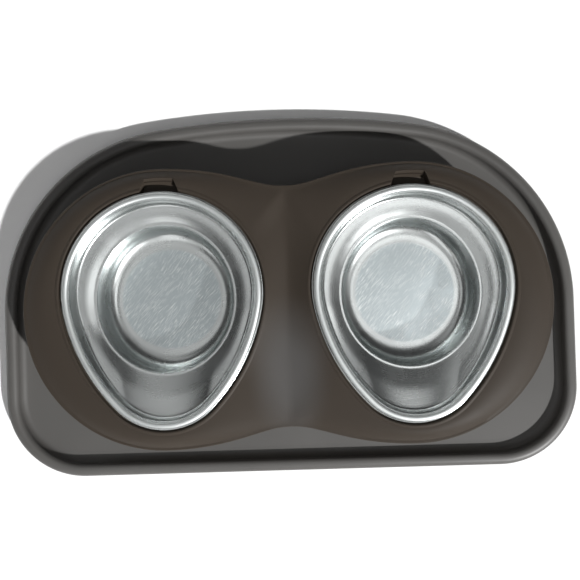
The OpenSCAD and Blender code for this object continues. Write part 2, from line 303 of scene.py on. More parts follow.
class RingShell:
    """A sheet drawn out ring by ring: a circle set on the first ring, extruded onto each next one."""

    def __init__(self, name: str, first: Ring) -> None:
        """Add the circle and set it on the first ring.

        Args:
            name: The piece's name.
            first: The ring's points, in order round it.
        """
        deselect_all()
        bpy.ops.mesh.primitive_circle_add(vertices=len(first), radius=first[0].length)
        self.obj = named_primitive(name)
        self.obj.data.attributes.new(ACROSS, "FLOAT", "POINT")
        self.ring = first
        self.across = 0.0
        for vert, place in zip(self.obj.data.vertices, first):
            vert.co = place
        take(self.obj)
        bpy.ops.object.mode_set(mode="EDIT")
        bpy.ops.mesh.select_mode(type="EDGE")
        bpy.ops.mesh.select_all(action="SELECT")

    def draw(self, ring: Ring) -> None:
        """Extrude the selected edges and set their new points on the next ring."""
        bpy.ops.mesh.extrude_edges_move(TRANSFORM_OT_translate={"value": (0, 0, 0)})
        tree = KDTree(len(self.ring))
        for k, place in enumerate(self.ring):
            tree.insert(place, k)
        tree.balance()
        self.across += sum((a - b).length for a, b in zip(self.ring, ring)) / len(ring)
        shape = bmesh.from_edit_mesh(self.obj.data)
        across = shape.verts.layers.float[ACROSS]
        for vert in shape.verts:
            if vert.select:
                vert.co = ring[tree.find(vert.co)[1]]
                vert[across] = self.across
        bmesh.update_edit_mesh(self.obj.data)
        self.ring = ring

    def draw_rows(self, rows: Sequence[Ring]) -> None:
        """Draw the sheet through several rings."""
        for ring in rows:
            self.draw(ring)

    def let_go(self, test: Callable[[bmesh.types.BMEdge], bool]) -> None:
        """Deselect the edges that pass a test, so that the sheet goes on without them."""
        shape = bmesh.from_edit_mesh(self.obj.data)
        kept = [edge for edge in shape.edges if edge.select and not test(edge)]
        bpy.ops.mesh.select_all(action="DESELECT")
        for edge in kept:
            edge.select_set(True)
        bmesh.update_edit_mesh(self.obj.data)

    def fill(self) -> None:
        """Close the last ring with one flat face."""
        bpy.ops.mesh.edge_face_add()

    def done(self) -> Piece:
        """Leave edit mode and return the sheet's object, its faces looking up."""
        bpy.ops.object.mode_set(mode="OBJECT")
        weld(self.obj, upward=True)
        return self.obj


# Finishes

class Shader:
    """A material's nodes, added and linked by short calls."""

    def __init__(self, name: str) -> None:
        """Start a material with its Principled shader.

        Args:
            name: The material's name.
        """
        self.material = bpy.data.materials.new(name)
        self.material.use_nodes = True
        self.tree = self.material.node_tree
        self.surface = self.tree.nodes["Principled BSDF"]
        self.place = self.add("ShaderNodeTexCoord").outputs["Object"]

    def add(self, kind: str, settings: dict[str, object] | None = None,
            **inputs: object) -> bpy.types.Node:
        """Add a node.

        Args:
            kind: The node's type.
            settings: Its own settings, by name.
            **inputs: Its sockets, by name with _ for a space, or by number after in. A socket is linked, and
                any other value is set.

        Returns:
            The node.
        """
        node = self.tree.nodes.new(kind)
        for name, value in (settings or {}).items():
            setattr(node, name, value)
        self.set(node, **inputs)
        return node

    def set(self, node: bpy.types.Node, **inputs: object) -> None:
        """Set or link a node's sockets, named as in add."""
        for name, value in inputs.items():
            number = name[2:]
            socket = node.inputs[int(number)] if name.startswith("in") and number.isdigit() else (
                node.inputs[name.replace("_", " ")])
            if isinstance(value, Socket):
                self.tree.links.new(value, socket)
            else:
                socket.default_value = value

    def math(self, operation: str, *values: object, clamp: bool = False) -> Socket:
        """Return the result of a math node on one to three values or sockets."""
        sockets = {f"in{k}": value for k, value in enumerate(values)}
        settings = {"operation": operation, "use_clamp": clamp}
        return self.add("ShaderNodeMath", settings, **sockets).outputs[0]

    def ramp(self, value: Socket, low: float, high: float, to_low: float = 0.0,
             to_high: float = 1.0) -> Socket:
        """Return value eased from to_low at low to to_high at high, and held outside."""
        return self.add("ShaderNodeMapRange", {"interpolation_type": "SMOOTHSTEP"}, Value=value,
                        From_Min=low, From_Max=high, To_Min=to_low, To_Max=to_high).outputs["Result"]

    def noise(self, size: float, detail: float = 2.0, place: Socket | None = None) -> Socket:
        """Return noise from 0 to 1 whose grains are about size metres across."""
        return self.add("ShaderNodeTexNoise", None, Vector=place or self.place, Scale=1 / size,
                        Detail=detail).outputs[0]

    def streaks(self, path: Socket, width: float, detail: float, roughness: float = 0.5) -> Socket:
        """Return noise from 0 to 1 that changes only along a path, in bands about width metres wide."""
        return self.add("ShaderNodeTexNoise", {"noise_dimensions": "1D"}, W=path, Scale=1 / width,
                        Detail=detail, Roughness=roughness).outputs[0]

    def height(self) -> Socket:
        """Return the height above the ground."""
        return self.add("ShaderNodeSeparateXYZ", None, Vector=self.place).outputs["Z"]

    def distance(self, place: Socket) -> Socket:
        """Return the length of a vector."""
        return self.add("ShaderNodeVectorMath", {"operation": "LENGTH"}, in0=place).outputs["Value"]

    def moved(self, location: Vector | tuple = (0, 0, 0), turn_deg: float = 0.0,
              scale: tuple = (1, 1, 1)) -> Socket:
        """Return the object coordinates with a centre taken as origin, then turned about Z and scaled."""
        centred = self.add("ShaderNodeVectorMath", {"operation": "SUBTRACT"}, in0=self.place,
                           in1=tuple(location)).outputs[0]
        turned = self.add("ShaderNodeMapping", None, Vector=centred,
                          Rotation=(0, 0, math.radians(turn_deg)))
        return self.add("ShaderNodeVectorMath", {"operation": "MULTIPLY"}, in0=turned.outputs[0],
                        in1=tuple(scale)).outputs[0]

    def mixed(self, share: object, first: object, second: object) -> Socket:
        """Return a colour between two, by a share from 0 to 1."""
        a, b = ((*value, 1.0) if isinstance(value, tuple) else value for value in (first, second))
        return self.add("ShaderNodeMix", {"data_type": "RGBA"}, in0=share, in6=a, in7=b).outputs[2]

    def bump(self, height: Socket, depth: float, strength: float = 1.0,
             normal: Socket | None = None) -> Socket:
        """Return a normal that is raised by a height map of the given depth in metres."""
        below = {} if normal is None else {"Normal": normal}
        return self.add("ShaderNodeBump", None, Height=height, Distance=depth, Strength=strength,
                        **below).outputs[0]


def tinted(colour: Colour, factor: float) -> Colour:
    """Return a colour made lighter or darker by a factor."""
    return tuple(c * factor for c in colour)


@dataclass(frozen=True)
class MouldedPlastic:
    """Injection-moulded plastic: a fine spark-eroded grain, faint flow clouds, and hairline scuffs.

    Attributes:
        name: The material's name.
        colour: Its base colour.
        roughness: Its mean roughness.
        grain: Size of the grain.
        grain_depth: Depth of the grain.
        cloud_size: Size of the flow clouds.
        cloud_tint: How much the clouds lighten and darken the colour.
        cloud_rough: How much they change the roughness.
        specular: Strength of its gloss.
        scuff: How strongly the scuffs show.
        scuff_size: Length, width and height of a scuff.
        scuff_layers: Direction of each layer of scuffs, and the noise levels between which it comes up.
        lip_z: Height above which handling has polished the edges.
        bloom_and_painted_sheen: How strongly a painted highlight lightens the colour at its middle: a grey
            sheen painted onto the upward faces in place of the lamp's highlight.
        painted_sheen_at: The middle of that painted highlight.
        painted_sheen_half: Half the painted highlight's width and depth.
    """

    name: str
    colour: Colour
    roughness: float
    grain: float = 0.45 * MM
    grain_depth: float = 0.02 * MM
    cloud_size: float = 55 * MM
    cloud_tint: float = 0.07
    cloud_rough: float = 0.04
    specular: float = 0.5
    scuff: float = 0.175
    scuff_size: tuple[float, float, float] = (26 * MM, 0.5 * MM, 9 * MM)
    scuff_layers: tuple[tuple[float, float, float], ...] = (
        (12, 0.69, 0.74), (64, 0.7, 0.75), (118, 0.71, 0.76))
    lip_z: float = 1.0
    bloom_and_painted_sheen: float = 0.0
    painted_sheen_at: Vector = Vector((0, 0, 0))
    painted_sheen_half: tuple[float, float] = (30 * MM, 55 * MM)

    def make(self) -> bpy.types.Material:
        """Return the material."""
        s = Shader(self.name)
        clouds = s.noise(self.cloud_size, 4.0)
        grain = s.noise(self.grain, 2.0)
        density = tuple(1 / size for size in self.scuff_size)
        lines = 0.0
        for turn, low, high in self.scuff_layers:
            layer = s.noise(1.0, 3.0, place=s.moved(turn_deg=turn, scale=density))
            lines = s.math("ADD", lines, s.ramp(layer, low, high), clamp=True)
        patches = s.ramp(s.noise(38 * MM, 2.0), 0.45, 0.7)
        marks = s.math("MULTIPLY", lines, patches)
        darker, lighter = (tinted(self.colour, 1 + way * self.cloud_tint) for way in (-1, 1))
        body = s.mixed(clouds, darker, lighter)
        # Painted highlight: near one middle, the colour is eased towards grey on upward faces, a sheen
        # painted in where the lamp's highlight falls.
        half_x, half_y = self.painted_sheen_half
        aside = s.distance(s.moved(self.painted_sheen_at, 0.0, (1 / half_x, 1 / half_y, 0)))
        painted_sheen = s.math("MULTIPLY", s.ramp(aside, 0.2, 1.0, self.bloom_and_painted_sheen, 0.0),
                      s.ramp(clouds, 0.2, 0.6, 0.75, 1.0))
        facing = s.add("ShaderNodeTexCoord").outputs["Normal"]
        up = s.add("ShaderNodeSeparateXYZ", None, Vector=facing).outputs["Z"]
        painted_sheen = s.math("MULTIPLY", painted_sheen, s.ramp(up, 0.3, 0.7))
        painted_sheen_grey = (sum(self.colour),) * 3
        body = s.mixed(painted_sheen, body, painted_sheen_grey)
        speckled = s.mixed(s.ramp(grain, 0.62, 0.8, 0.0, 0.16), body, tinted(self.colour, 1.7))
        scuffed = s.mixed(s.math("MULTIPLY", marks, self.scuff), speckled, tinted(self.colour, 2.2))
        worn = s.ramp(s.height(), self.lip_z - 1.5 * MM, self.lip_z, 0.0, -0.05)
        smoother, rougher = self.roughness - self.cloud_rough, self.roughness + self.cloud_rough
        patchy = s.ramp(clouds, 0.3, 0.7, smoother, rougher)
        rough = s.math("ADD", patchy, worn)
        s.surface.inputs["Specular IOR Level"].default_value = self.specular
        s.set(s.surface, Base_Color=scuffed, Roughness=s.math("ADD", rough, s.math("MULTIPLY", marks, 0.1)),
              Normal=s.bump(marks, -0.01 * MM, 0.6, s.bump(grain, self.grain_depth)))
        return s.material


@dataclass(frozen=True)
class PressedSteel:
    """Pressed stainless steel: fine lines parallel to the rim, and crossing scratches on the flat bottom.

    Attributes:
        name: The material's name.
        centre: The middle of the round well.
        flat_radius: Radius of the well's flat bottom.
        colour: The metal's colour.
        flat_colour: Its colour on the flat bottom.
        line_size: Width of the fine lines.
        roughness: Roughness of the walls and the ramp.
        flat_roughness: Roughness of the scratched flat.
        rim_roughness: Roughness of the rolled rim, dulled by washing.
        rim_z: Height above which the rim is dulled.
        scratch_layers: Direction, length, width and rarity of each layer of scratches.
        scratch_tint: How much lighter than the metal they are.
        scratch_depth: Their depth.
    """

    name: str
    centre: Vector
    flat_radius: float
    colour: Colour = (0.62, 0.645, 0.64)
    flat_colour: Colour = (0.54, 0.6, 0.615)
    line_size: float = 0.55 * MM
    roughness: float = 0.24
    flat_roughness: float = 0.28
    rim_roughness: float = 0.5
    rim_z: float = 48.8 * MM
    scratch_layers: tuple[tuple[float, float, float, float], ...] = (
        (-52, 8 * MM, 0.55 * MM, 0.58), (-45, 13 * MM, 0.6 * MM, 0.61), (-60, 6 * MM, 0.5 * MM, 0.62),
        (24, 6 * MM, 0.45 * MM, 0.68), (82, 5 * MM, 0.45 * MM, 0.7))
    scratch_tint: float = 1.55
    scratch_depth: float = 0.016 * MM

    def scratches(self, s: Shader, turn_deg: float, length: float, width: float, rarity: float) -> Socket:
        """Return a layer of straight scratches.

        Args:
            s: The material's nodes.
            turn_deg: Their direction.
            length: Their usual length.
            width: Their width.
            rarity: The noise level above which they show.

        Returns:
            Their strength, from 0 to 1.
        """
        place = s.moved(self.centre, turn_deg, (1 / length, 1 / width, 0.0))
        return s.ramp(s.noise(1.0, 1.0, place=place), rarity, rarity + 0.08)

    def strokes(self, s: Shader) -> Socket:
        """Return all the scratches of the flat bottom, worn more in some patches than in others."""
        joined = 0.0
        for layer in self.scratch_layers:
            joined = s.math("MAXIMUM", joined, self.scratches(s, *layer))
        return s.math("MULTIPLY", joined, s.ramp(s.noise(16 * MM, 2.0), 0.3, 0.62, 0.45, 1.0))

    def make(self) -> bpy.types.Material:
        """Return the material."""
        s = Shader(self.name)
        radius = s.distance(s.moved(self.centre, 0.0, (1, 1, 0)))
        across = s.add("ShaderNodeAttribute", {"attribute_name": ACROSS}).outputs["Fac"]
        path = s.math("ADD", across, s.math("MULTIPLY", s.noise(45 * MM, 1.0), 0.5 * MM))
        lines = s.streaks(path, self.line_size, 3.0, 0.7)
        waves = s.streaks(path, 5 * self.line_size, 1.0)
        flat = s.ramp(radius, self.flat_radius - 2.5 * MM, self.flat_radius, 1.0, 0.0)
        off_flat = s.math("SUBTRACT", 1.0, flat)
        strokes = s.math("MULTIPLY", self.strokes(s), flat)
        clouds = s.noise(24 * MM, 3.0)
        steel = s.mixed(flat, s.mixed(clouds, tinted(self.colour, 0.95), self.colour), self.flat_colour)
        worn = s.mixed(s.math("MULTIPLY", strokes, 0.9), steel, tinted(self.colour, self.scratch_tint))
        rough = s.math("ADD", s.ramp(flat, 0, 1, self.roughness, self.flat_roughness),
                       s.ramp(clouds, 0.3, 0.7, -0.02, 0.03))
        dulled = self.rim_roughness - self.roughness
        rough = s.math("ADD", rough, s.ramp(s.height(), self.rim_z - 0.2 * MM, self.rim_z, 0.0, dulled))
        lined = s.bump(s.math("MULTIPLY", lines, off_flat), 0.006 * MM)
        waved = s.bump(s.math("MULTIPLY", waves, off_flat), 0.02 * MM, 0.7, lined)
        s.set(s.surface, Base_Color=worn, Metallic=1.0,
              Roughness=s.math("ADD", rough, s.math("MULTIPLY", lines, 0.05)),
              Normal=s.bump(strokes, -self.scratch_depth, 1.0, waved))
        return s.material


@dataclass(frozen=True)
class FootRubber:
    """Black rubber with a dull bloom and a fine grain."""

    name: str = "foot_rubber"
    colour: Colour = (0.018, 0.018, 0.019)

    def make(self) -> bpy.types.Material:
        """Return the material."""
        s = Shader(self.name)
        bloom_and_painted_sheen = s.noise(6 * MM, 4.0)
        dusty = s.mixed(s.ramp(bloom_and_painted_sheen, 0.4, 0.75, 0.0, 0.6), self.colour, tinted(self.colour, 2.2))
        s.set(s.surface, Base_Color=dusty, Roughness=s.ramp(bloom_and_painted_sheen, 0.3, 0.7, 0.72, 0.88),
              Normal=s.bump(s.noise(0.35 * MM, 2.0), 0.03 * MM))
        return s.material


# Outlines

@dataclass(frozen=True)
class EggOutline:
    """A bowl's outline about its lobe's centre: a round back, two long sides and a narrow front tip."""

    width: float = 132 * MM
    length: float = 155.2 * MM
    tip_radius: float = 44 * MM
    side_radius: float = 125 * MM
    back_y: float = 11 * MM

    def point(self, b_deg: float, out: float = 0.0) -> Vector:
        """Return the outline's point where its outward normal is b_deg.

        Args:
            b_deg: The normal's angle.
            out: How far outside the outline the point lies.

        Returns:
            The point, at height 0.
        """
        back_radius = self.width / 2
        tip_y = self.back_y + back_radius + self.tip_radius - self.length
        to_back = self.side_radius - back_radius
        to_tip = self.side_radius - self.tip_radius
        span = self.back_y - tip_y
        side_dy = (to_tip ** 2 - to_back ** 2 - span ** 2) / (2 * span)
        side_x = math.sqrt(to_back ** 2 - side_dy ** 2)
        b = (b_deg + 180) % 360 - 180
        sign = math.copysign(1.0, b)
        back_end = 90 + math.degrees(math.atan2(side_dy, side_x))
        tip_start = 90 + math.degrees(math.atan2(side_dy + span, side_x))
        if abs(b) <= back_end:
            return Vector((0, self.back_y, 0)) + toward(b) * (back_radius + out)
        if abs(b) < tip_start:
            middle = Vector((-sign * side_x, self.back_y + side_dy, 0))
            return middle + toward(b) * (self.side_radius + out)
        return Vector((0, tip_y, 0)) + toward(b) * (self.tip_radius + out)


@dataclass(frozen=True)
class PeanutOutline:
    """The stand's outline about the right lobe's centre, from the waist behind to the waist in front."""

    lobe_x: float = 81.6 * MM
    lobe_radius: float = 92.6 * MM
    neck_y: float = 79.2 * MM
    neck_radius: float = 60 * MM
    flank_deg: float = 15.5

    def waist(self, x: float, out: float) -> Vector:
        """Return the point of the waist's back edge at x to the left of the lobe's centre, moved out."""
        flank = math.radians(self.flank_deg)
        rise = 1 - math.cos(flank)
        neck_x = self.lobe_x - self.neck_radius * math.sin(flank)
        radius = math.cos(flank) / rise * (
            neck_x * math.tan(flank) - self.lobe_radius + self.neck_y + self.neck_radius * rise)
        flank_x = radius * math.sin(flank)
        if x <= flank_x:
            b_deg = -math.degrees(math.asin(x / radius))
            return Vector((0, self.lobe_radius - radius, 0)) + toward(b_deg) * (radius + out)
        if x <= neck_x:
            y = self.lobe_radius - radius * rise - (x - flank_x) * math.tan(flank)
            return Vector((-x, y, 0)) + toward(-self.flank_deg) * out
        b_deg = -math.degrees(math.asin((self.lobe_x - x) / self.neck_radius))
        middle = Vector((-self.lobe_x, self.neck_y + self.neck_radius, 0))
        return middle - toward(b_deg) * (self.neck_radius - out)


# Pieces

@dataclass
class SpillTray:
    """The D-shaped tray: a rolled lip swept along straights and arcs, and a flat floor."""

    corner_radius: float = 55 * MM
    shoulder_radius: float = 127.3 * MM
    back_radius: float = 660 * MM
    lip_width: float = 9 * MM
    outer_round: float = 4.5 * MM
    inner_round: float = 3.5 * MM
    cove: float = 4.5 * MM
    skirt_z: float = 1.2 * MM
    floor_z: float = 4.5 * MM
    thickness: float = 2.5 * MM
    round_steps: int = 7
    corner_steps: int = 24
    shoulder_steps: int = 34
    back_steps: int = 24
    floor_insets: tuple[float, float] = (1.5 * MM, 12 * MM)
    peg_radius: float = 3.5 * MM
    peg_height: float = 6 * MM
    peg_round: float = 1 * MM
    recess_depth: float = 0.6 * MM
    low: Vector = field(default_factory=lambda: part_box("tray")[0])
    high: Vector = field(default_factory=lambda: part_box("tray")[1])

    def profile(self) -> Piece:
        """Return the lip's section at the middle of the front, drawn as a line with rounded corners."""
        deselect_all()
        bpy.ops.mesh.primitive_plane_add(size=MM, location=(0, 0, 0))
        obj = named_primitive("spill_tray")
        corners = [(0, self.skirt_z), (0, self.high.z), (self.lip_width, self.high.z),
                   (self.lip_width, self.floor_z), (self.lip_width + 2 * self.cove, self.floor_z)]
        with editing(obj):
            bpy.ops.mesh.select_all(action="SELECT")
            bpy.ops.mesh.merge(type="CENTER")
            bpy.ops.transform.translate(value=(0, self.low.y, self.skirt_z))
            for (y0, z0), (y1, z1) in zip(corners, corners[1:]):
                bpy.ops.mesh.extrude_vertices_move(
                    TRANSFORM_OT_translate={"value": (0, y1 - y0, z1 - z0)})
            for (y, z), size in zip(corners[1:4], (self.outer_round, self.inner_round, self.cove)):
                place = Vector((0, self.low.y + y, z))
                pick(obj, "VERT", lambda v, p=place: (v.co - p).length < WELD)
                bpy.ops.mesh.bevel(offset=size, segments=self.round_steps, affect="VERTICES")
        return obj

    def sweep(self, obj: Piece) -> None:
        """Sweep the section along the right half of the outline, then mirror it."""
        corner_x = self.high.x - self.corner_radius
        corner_y = self.low.y + self.corner_radius
        back_y = self.high.y - self.back_radius
        shoulder_x = self.high.x - self.shoulder_radius
        reach = self.back_radius - self.shoulder_radius
        shoulder_y = back_y + math.sqrt(reach ** 2 - shoulder_x ** 2)
        back_angle = math.asin(shoulder_x / reach)
        with editing(obj):
            bpy.ops.mesh.select_mode(type="EDGE")
            bpy.ops.mesh.select_all(action="SELECT")
            bpy.ops.mesh.extrude_edges_move(TRANSFORM_OT_translate={"value": (corner_x, 0, 0)})
            self.turn(corner_x, corner_y, math.pi / 2, self.corner_steps)
            bpy.ops.mesh.extrude_edges_move(TRANSFORM_OT_translate={"value": (0, shoulder_y - corner_y, 0)})
            self.turn(shoulder_x, shoulder_y, math.pi / 2 - back_angle, self.shoulder_steps)
            self.turn(0, back_y, back_angle, self.back_steps)
        apply_modifier(obj, "MIRROR", use_clip=True, merge_threshold=MIRROR_WELD)

    @staticmethod
    def turn(x: float, y: float, angle: float, steps: int) -> None:
        """Spin the selected section anticlockwise about an upright axis, in a number of steps."""
        bpy.ops.mesh.spin(steps=steps, angle=-angle, center=(x, y, 0), axis=(0, 0, 1))

    def lay_floor(self, obj: Piece) -> None:
        """Fill the floor inside the swept band, with two insets that keep its shading flat."""
        with editing(obj):
            bpy.ops.mesh.select_all(action="SELECT")
            bpy.ops.mesh.remove_doubles(threshold=WELD)
            pick(obj, "EDGE", lambda e: e.is_boundary and all(
                abs(v.co.z - self.floor_z) < WELD for v in e.verts))
            bpy.ops.mesh.edge_face_add()
            for width in self.floor_insets:
                bpy.ops.mesh.inset(thickness=width, use_boundary=True)
        weld(obj, upward=True)

    def build(self, pegs: Sequence[Vector], feet: Sequence[Vector], foot_radius: float) -> Piece:
        """Build the tray.

        Args:
            pegs: Places of the locating pegs on the floor.
            feet: Places of the feet under it.
            foot_radius: Radius of the recess of a foot.

        Returns:
            The tray.
        """
        obj = self.profile()
        self.sweep(obj)
        self.lay_floor(obj)
        apply_modifier(obj, "SOLIDIFY", thickness=self.thickness, offset=-1.0, use_even_offset=True)
        self.combine(obj, self.peg(pegs[0]), pegs, "UNION")
        self.combine(obj, self.recess_cutter(feet[0], foot_radius), feet, "DIFFERENCE")
        smooth(obj, angle_deg=35)
        return obj

    def peg(self, place: Vector) -> Piece:
        """Return one locating peg with a rounded top, sunk a little into the floor."""
        sunk = 1 * MM
        top = self.floor_z + self.peg_height
        peg = cylinder("locating_peg", 40, self.peg_radius, place, self.floor_z - sunk, top)
        with editing(peg):
            pick(peg, "EDGE", lambda e: all(v.co.z > top - 0.1 * MM for v in e.verts))
            bpy.ops.mesh.bevel(offset=self.peg_round, segments=4, affect="EDGES")
        return peg

    def recess_cutter(self, place: Vector, radius: float) -> Piece:
        """Return the shape that cuts the recess of one foot into the underside."""
        roof = self.floor_z - self.thickness + self.recess_depth
        return cylinder("recess_cutter", 64, radius, place, roof - 4 * MM, roof)

    @staticmethod
    def combine(obj: Piece, shape: Piece, places: Sequence[Vector], operation: str) -> None:
        """Copy a shape to several places, then join all of them to a piece or cut them away.

        Args:
            obj: The piece.
            shape: The shape, modelled at the first place; it is used up.
            places: Where it goes.
            operation: UNION or DIFFERENCE.
        """
        shapes = [shape] + [copied(shape, shape.name, place - places[0]) for place in places[1:]]
        for other in shapes:
            apply_modifier(obj, "BOOLEAN", operation=operation, object=other, solver="EXACT")
            bpy.data.objects.remove(other)


@dataclass
class SteelBowl:
    """A pressed bowl: rolled rim on a small lip, short steep wall, ramp down to a ridge, and a round well.

    A ring along the egg outline is named by its inset from it. The outside repeats the inside at the sheet's
    thickness, apart from the rim.
    """

    egg: EggOutline = field(default_factory=EggOutline)
    stations: int = 180
    rim_z: float = 50 * MM
    rim_foot_z: float = 46.3 * MM
    lip_height: float = 0.7 * MM
    lip_inset: float = 0.15 * MM
    bead_inset: float = 3.3 * MM
    bead_half: float = 2.2 * MM
    bead_tall: float = 2.2 * MM
    bead_power: float = 2.3
    shoulder_inset: float = 6.0 * MM
    shoulder_z: float = 48.5 * MM
    sheet: float = 0.8 * MM
    wall_inset: float = 7.0 * MM
    ramp_deg: float = 12.5
    ridge_half: tuple[float, float] = (45.4 * MM, 49 * MM)
    ridge_z: float = 34.9 * MM
    step_width: float = 1.8 * MM
    ramp_break: float = 0.55
    ramp_break_rise: float = 0.55 * MM
    flat_radius: float = 35.8 * MM
    flat_z: float = 10 * MM
    well_y: float = 6.8 * MM
    cove_draft: float = 0.6 * MM
    cove_up: float = 9.6 * MM
    cove_steps: int = 16
    bead_steps: int = 20
    flat_edge: float = 8 * MM
    flat_rings: tuple[float, ...] = (20 * MM, 12 * MM, 5 * MM, 1.5 * MM)

    def angles(self) -> list[float]:
        """Return the normal angle of each station, going anticlockwise from the back."""
        return [-360 * k / self.stations for k in range(self.stations)]

    def egg_ring(self, inset: float, z: float) -> Ring:
        """Return a ring along the egg outline, drawn in by inset."""
        return [at_height(self.egg.point(b, -inset), z) for b in self.angles()]

    def oval_ring(self, grown: float, z: float) -> Ring:
        """Return a ring along the well's oval ridge, grown by a width, whose normals match the egg's."""
        half_x, half_y = (half + grown for half in self.ridge_half)
        ring = []
        for b in self.angles():
            way = toward(b)
            size = math.hypot(half_x * way.x, half_y * way.y)
            ring.append(Vector((half_x ** 2 * way.x / size, self.well_y + half_y ** 2 * way.y / size, z)))
        return ring

    def round_ring(self, radius: float, z: float) -> Ring:
        """Return a round ring about the well's middle."""
        return [Vector((0, self.well_y, z)) + toward(b) * radius for b in self.angles()]

    def rim(self) -> list[Corner]:
        """Return the corners of the rim, from its outer foot over the bead to the wall."""
        lip = self.rim_foot_z + self.lip_height
        corners = [
            Corner(self.egg_ring(self.lip_inset, self.rim_foot_z + 0.2 * MM)),
            Corner(self.egg_ring(self.lip_inset, lip), 0.25 * MM, 3),
            Corner(self.egg_ring(self.bead_inset - self.bead_half - 0.2 * MM, lip), 0.3 * MM, 3),
        ]
        for k in range(1, self.bead_steps - 2):
            a = math.pi * k / self.bead_steps
            inset = self.bead_inset - self.bead_half * math.cos(a)
            fall = 1 - (1 - abs(math.cos(a)) ** self.bead_power) ** (1 / self.bead_power)
            corners.append(Corner(self.egg_ring(inset, self.rim_z - self.bead_tall * fall)))
        groove = self.bead_inset + self.bead_half - 0.05 * MM
        corners += [
            Corner(self.egg_ring(groove, self.shoulder_z - 0.15 * MM), 0.3 * MM, 3),
            Corner(self.egg_ring(self.shoulder_inset, self.shoulder_z), 0.4 * MM, 4),
            Corner(self.egg_ring(self.wall_inset - 0.6 * MM, self.shoulder_z - 1.2 * MM), 0.6 * MM, 3, 3),
        ]
        return corners

    def cove(self, grown: float) -> list[Corner]:
        """Return the rows of the hollow curve from the well's wall to the round flat, grown outward."""
        rows = []
        for k in range(self.cove_steps, -1, -1):
            t = k / self.cove_steps
            turned = t * math.pi / 2
            out = grown * math.sin(turned) - self.cove_draft
            wide = self.oval_ring(out, 0)
            flat = self.round_ring(self.flat_radius + grown * math.sin(turned), 0)
            z = self.flat_z + self.cove_up * t * t - grown * math.cos(turned)
            rows.append(Corner([at_height(w.lerp(f, (1 - t) ** 2), z) for w, f in zip(wide, flat)]))
        return rows

    def ramp_top(self, outline: Ring, step: Ring) -> Ring:
        """Return an outline raised to the height that the even slope of the ramp reaches there."""
        rise = math.tan(math.radians(self.ramp_deg))
        return [at_height(a, b.z + rise * math.hypot(a.x - b.x, a.y - b.y)) for a, b in zip(outline, step)]

    def below_rim(self, grown: float, steps: tuple[int, int, int, int]) -> list[Corner]:
        """Return the corners from the foot of the wall over ramp, ridge and cove to the flat bottom.

        Args:
            grown: How far outside the bowl's inner face they lie.
            steps: Steps of the rounds at the wall's foot, at the ramp's break, and outside and on the ridge.

        Returns:
            The corners.
        """
        ridge_z = self.ridge_z - grown
        step = self.oval_ring(self.step_width + 0.3 * grown, ridge_z)
        foot = self.ramp_top(self.egg_ring(self.wall_inset - 0.7 * grown, 0), step)
        rise = Vector((0, 0, self.ramp_break_rise))
        crease = [a.lerp(b, self.ramp_break) + rise for a, b in zip(foot, step)]
        return [
            Corner(foot, 2.0 * MM, steps[0], 4),
            Corner(crease, 3.2 * MM, steps[1], 3),
            Corner(step, 0.8 * MM, steps[2]),
            Corner(self.oval_ring(grown, ridge_z), 0.9 * MM, steps[3], 6),
            *self.cove(grown),
            Corner(self.round_ring(self.flat_radius - self.flat_edge, self.flat_z - grown)),
        ]

    def inside(self) -> list[Ring]:
        """Return the rings from the rim's outer foot over the top to the flat bottom."""
        return rounded_rows([*self.rim(), *self.below_rim(0.0, (7, 6, 4, 5))])

    def outside(self) -> list[Ring]:
        """Return the rings from the rim's outer foot along the underside to the flat bottom."""
        under = self.rim_foot_z
        raised = under + 1.2 * MM
        return rounded_rows([
            Corner(self.egg_ring(self.lip_inset, under + 0.2 * MM)),
            Corner(self.egg_ring(0.4 * MM, under), 0.15 * MM, 2),
            Corner(self.egg_ring(2.7 * MM, under), 0.3 * MM, 3),
            Corner(self.egg_ring(3.1 * MM, raised), 0.4 * MM, 3),
            Corner(self.egg_ring(self.wall_inset - 0.6 * MM - self.sheet, raised), 0.5 * MM, 3, 3),
            *self.below_rim(self.sheet, (6, 4, 3, 4)),
        ])

    def sheet_of(self, name: str, rows: list[Ring], z: float, move: Vector) -> Piece:
        """Draw one side of the bowl through its rings and close it with a flat bottom.

        Args:
            name: The sheet's name.
            rows: Its rings about the lobe's centre.
            z: Height of its flat bottom.
            move: Place of the lobe's centre.

        Returns:
            The sheet.
        """
        inner = [self.round_ring(radius, z) for radius in self.flat_rings]
        placed = [[p + move for p in ring] for ring in rows + inner]
        shell = RingShell(name, placed[0])
        shell.draw_rows(placed[1:])
        shell.fill()
        return shell.done()

    def build(self, name: str, move: Vector) -> Piece:
        """Build one bowl in its place, as an inner and an outer sheet that meet under the rim.

        Args:
            name: The piece's name.
            move: Place of its lobe's centre.

        Returns:
            The bowl.
        """
        obj = self.sheet_of(name, self.inside(), self.flat_z, move)
        under = self.sheet_of(f"{name}_underside", self.outside(), self.flat_z - self.sheet, move)
        join_sheets(obj, under)
        smooth(obj, angle_deg=60)
        return obj


